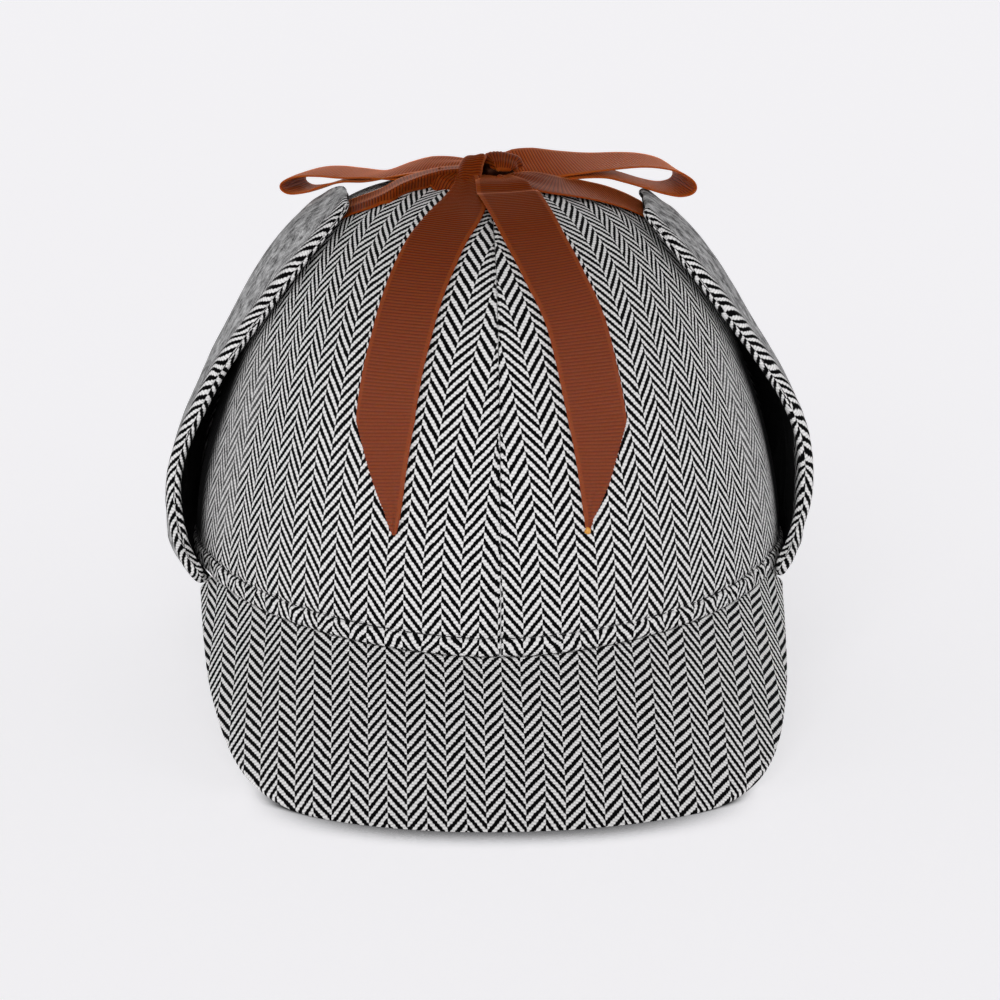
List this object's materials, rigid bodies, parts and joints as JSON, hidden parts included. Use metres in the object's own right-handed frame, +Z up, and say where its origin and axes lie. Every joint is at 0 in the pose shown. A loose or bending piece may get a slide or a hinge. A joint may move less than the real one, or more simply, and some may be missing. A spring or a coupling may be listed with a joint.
{
  "type": "deerstalker hat",
  "caption": "Soft cap with a panelled dome crown, a curved peak at the front and at the back, and ear flaps folded up and tied over the crown with a ribbon bow.",
  "frame": {"origin": "under the middle of the crown, on the surface that the hat rests on", "axes": "+Z up, -Y towards the front peak, +X towards the viewer's right from the front"},
  "size_m": [0.1988, 0.2848, 0.1702],
  "materials": {
    "herringbone_tweed": "matte wool tweed",
    "grosgrain_ribbon": "ribbed ribbon with a low sheen"
  },
  "bodies": {
    "root": {"crown_panel_front_left": "herringbone_tweed", "crown_panel_front_right": "herringbone_tweed", "crown_panel_side_left": "herringbone_tweed", "crown_panel_side_right": "herringbone_tweed", "crown_panel_back_left": "herringbone_tweed", "crown_panel_back_right": "herringbone_tweed", "front_peak": "herringbone_tweed", "back_peak": "herringbone_tweed", "ear_flap_left": "herringbone_tweed", "ear_flap_right": "herringbone_tweed", "ribbon_tie_left": "grosgrain_ribbon", "ribbon_tie_right": "grosgrain_ribbon", "bow_knot": "grosgrain_ribbon", "bow_loop_left": "grosgrain_ribbon", "bow_loop_right": "grosgrain_ribbon", "bow_tail_left": "grosgrain_ribbon", "bow_tail_right": "grosgrain_ribbon"}
  },
  "joints": []
}
